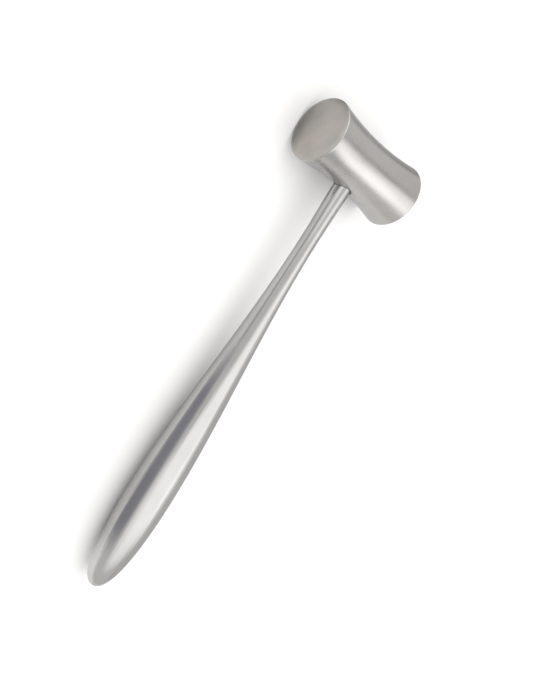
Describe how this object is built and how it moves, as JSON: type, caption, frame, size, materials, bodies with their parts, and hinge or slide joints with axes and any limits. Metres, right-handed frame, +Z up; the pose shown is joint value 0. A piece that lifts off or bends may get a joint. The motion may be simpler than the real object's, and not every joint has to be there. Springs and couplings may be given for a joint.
{
  "type": "surgical mallet",
  "caption": "All-steel surgical mallet: a round waisted head with a flat striking face at each end, on a slim-necked hollow teardrop handle.",
  "frame": {"origin": "on the table the mallet lies on, under the middle of its box; the head's axis is 12.7 mm above the table at X = -82.6 mm", "axes": "+X along the handle towards its tail tip, +Y along the head's axis from the front striking face to the back one, +Z up from the table; the handle slopes down 1.7 degrees towards its tail, so that the head's rims and the grip all touch the table"},
  "size_m": [0.1906, 0.0472, 0.0254],
  "materials": {
    "head_steel": "satin stainless steel, finely brushed round the head's axis, faces matt with turning marks",
    "handle_steel": "smooth fine-polished stainless steel with a soft sheen",
    "tang_steel": "plain turned stainless steel, its riveted end ground flush"
  },
  "bodies": {
    "root": {"striking_head": "head_steel", "handle_half_front": "handle_steel", "handle_half_back": "handle_steel", "tang_rod": "tang_steel", "anchor_collar": "tang_steel"}
  },
  "joints": []
}
